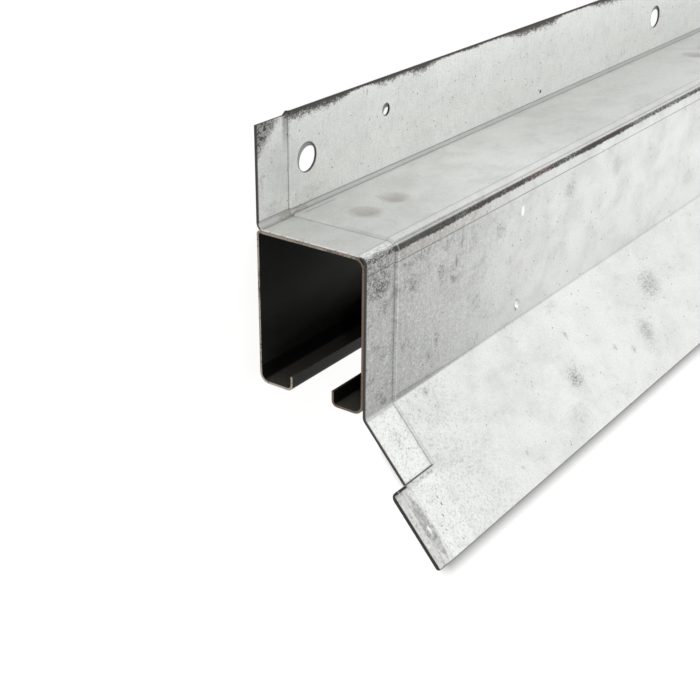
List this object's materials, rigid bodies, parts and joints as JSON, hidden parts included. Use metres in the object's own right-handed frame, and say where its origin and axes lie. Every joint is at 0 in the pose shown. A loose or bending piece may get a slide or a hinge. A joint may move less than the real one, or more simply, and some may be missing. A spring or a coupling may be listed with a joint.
{
  "type": "sliding door box rail",
  "caption": "Galvanised steel box rail for a sliding door: a slotted box channel under a flashing with a wall flange, a sloped drip apron and a swaged lap end.",
  "frame": {"origin": "centre of the part's box, on the floor under its back face", "axes": "+X along the rail away from its swaged end, +Y towards the wall flange, which is up on the wall, +Z away from the wall"},
  "size_m": [1.8372, 0.1476, 0.0883],
  "materials": {
    "channel_steel": "galvanised, dull inside",
    "flashing_steel": "galvanised, satin"
  },
  "bodies": {
    "root": {"box_channel": "channel_steel", "flashing": "flashing_steel"}
  },
  "joints": []
}
